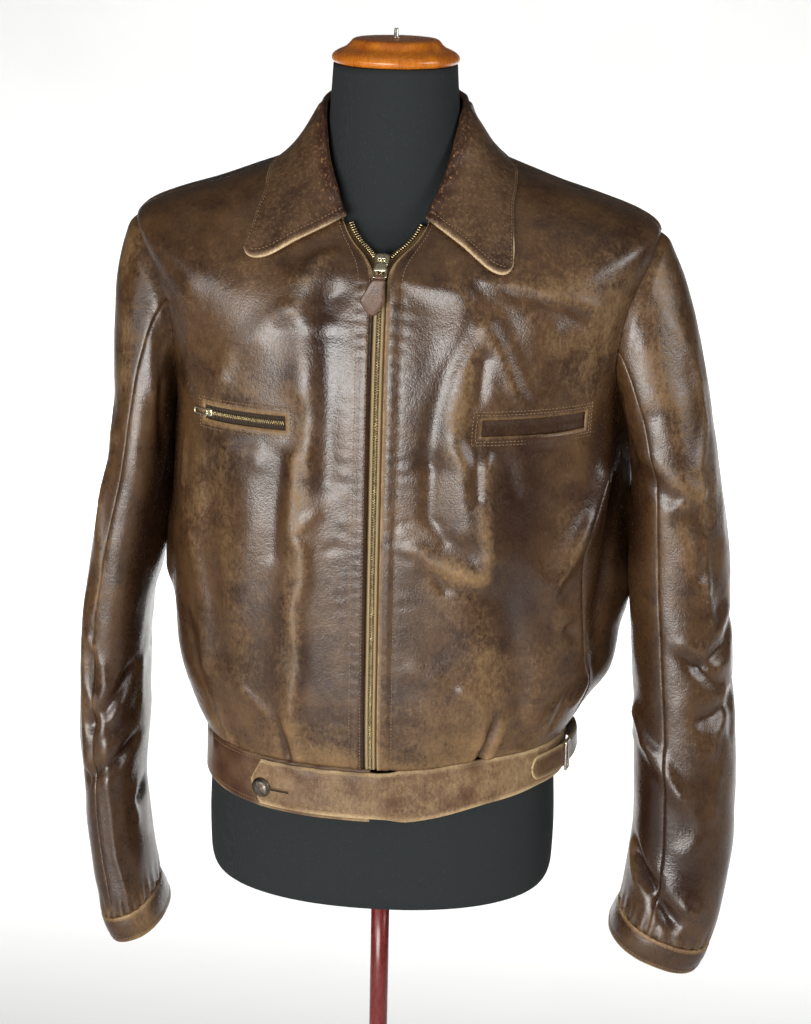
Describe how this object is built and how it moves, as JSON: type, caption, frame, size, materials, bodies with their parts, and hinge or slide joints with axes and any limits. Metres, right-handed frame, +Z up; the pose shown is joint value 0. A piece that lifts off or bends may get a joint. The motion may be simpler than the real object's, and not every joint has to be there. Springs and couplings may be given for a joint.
{
  "type": "leather jacket on dress form",
  "caption": "Worn brown leather zip jacket with a turn-down collar, waistband tab and side strap, hung on a limbless dress form with a wooden neck cap, pole and round foot.",
  "frame": {"origin": "on the floor under the middle of the pole, centre of the foot's underside", "axes": "+Z up along the pole, -Y towards the front of the jacket, +X towards the viewer's right"},
  "size_m": [0.6253, 0.38, 1.5078],
  "materials": {
    "leather": "brown hide with a worn gloss",
    "worn_leather": "brown hide rubbed to tan",
    "zip_tape": "woven cotton tape",
    "brass": "dull brass",
    "steel": "worn nickel plate",
    "jersey": "black jersey",
    "cap_wood": "varnished orange-brown wood",
    "stand_wood": "varnished red-brown wood"
  },
  "bodies": {
    "stand": {"front_right": "leather", "front_left": "leather", "back": "leather", "sleeve_right_top": "leather", "sleeve_right_under": "leather", "cuff_right": "worn_leather", "sleeve_left_top": "leather", "sleeve_left_under": "leather", "cuff_left": "worn_leather", "collar_fall": "worn_leather", "collar_stand": "leather", "band_right": "worn_leather", "band_left": "worn_leather", "band_back": "leather", "button": "steel", "strap": "leather", "buckle": "steel", "zip_tape_right": "zip_tape", "zip_teeth_right": "brass", "zip_tape_left": "zip_tape", "zip_teeth_left": "brass", "zip_chain": "brass", "zip_slider": "brass", "pocket_zip_tape": "zip_tape", "pocket_welt": "leather", "pocket_zip_chain": "brass", "pocket_zip_slider": "brass", "form_body": "jersey", "form_cap": "cap_wood", "form_stud": "steel", "foot": "stand_wood", "pole": "stand_wood"},
    "zip_pull": {"zip_pull_link": "brass", "zip_pull_fob": "worn_leather"},
    "pocket_pull": {"pocket_zip_pull": "brass"}
  },
  "joints": [
    {"name": "zip_pull_swing", "type": "hinge", "parent": "stand", "child": "zip_pull", "pos_m": [0, -0.09394, 1.32265], "axis": [-1, 0, 0], "range_deg": [0, 150]},
    {"name": "pocket_pull_swing", "type": "hinge", "parent": "stand", "child": "pocket_pull", "pos_m": [-0.1532, -0.08835, 1.17803], "axis": [-0.0053, 0.0043, 1], "range_deg": [0, 150]}
  ]
}
